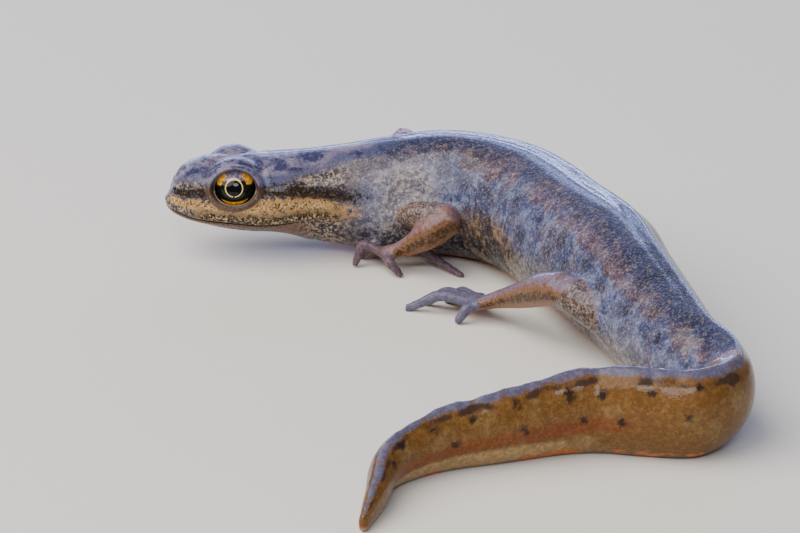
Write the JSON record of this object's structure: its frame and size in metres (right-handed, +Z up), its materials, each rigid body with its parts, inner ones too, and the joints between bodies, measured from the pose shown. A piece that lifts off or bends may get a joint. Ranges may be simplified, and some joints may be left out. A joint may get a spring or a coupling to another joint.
{
  "type": "smooth newt model",
  "caption": "Still life-size model of a smooth newt resting on its belly, body and tail curved to one side, limbs out, each eye a separate ball.",
  "frame": {"origin": "on the floor plane, under the middle of the model's bounding box", "axes": "+Z is up, -X is the way that the head looks, and the length from the right hand to the tip of the tail runs along Y, which is the longest extent; Z is the shortest"},
  "size_m": [0.0345, 0.054, 0.0077],
  "materials": {
    "skin_back": "moist satin skin, grey-brown with a golden speckle and dark spots",
    "skin_tail": "moist satin skin, golden olive-brown with dark spots and a pale band below",
    "skin_limb": "moist satin skin, mauve-brown above and orange-brown below",
    "eye": "wet gloss, black pupil in a thin gold ring, dark iris with gold at top and bottom"
  },
  "bodies": {
    "root": {"head": "skin_back", "neck": "skin_back", "torso_front": "skin_back", "torso_middle": "skin_back", "torso_rear": "skin_back", "tail_base": "skin_tail", "tail_bend": "skin_tail", "tail_middle": "skin_tail", "tail_tip": "skin_tail", "left_upper_arm": "skin_limb", "left_forearm": "skin_limb", "left_hand": "skin_limb", "right_upper_arm": "skin_limb", "right_forearm": "skin_limb", "right_hand": "skin_limb", "left_thigh": "skin_limb", "left_shin": "skin_limb", "left_foot": "skin_limb", "right_thigh": "skin_limb", "right_shin": "skin_limb", "right_foot": "skin_limb", "eye_left": "eye", "eye_right": "eye"}
  },
  "joints": []
}
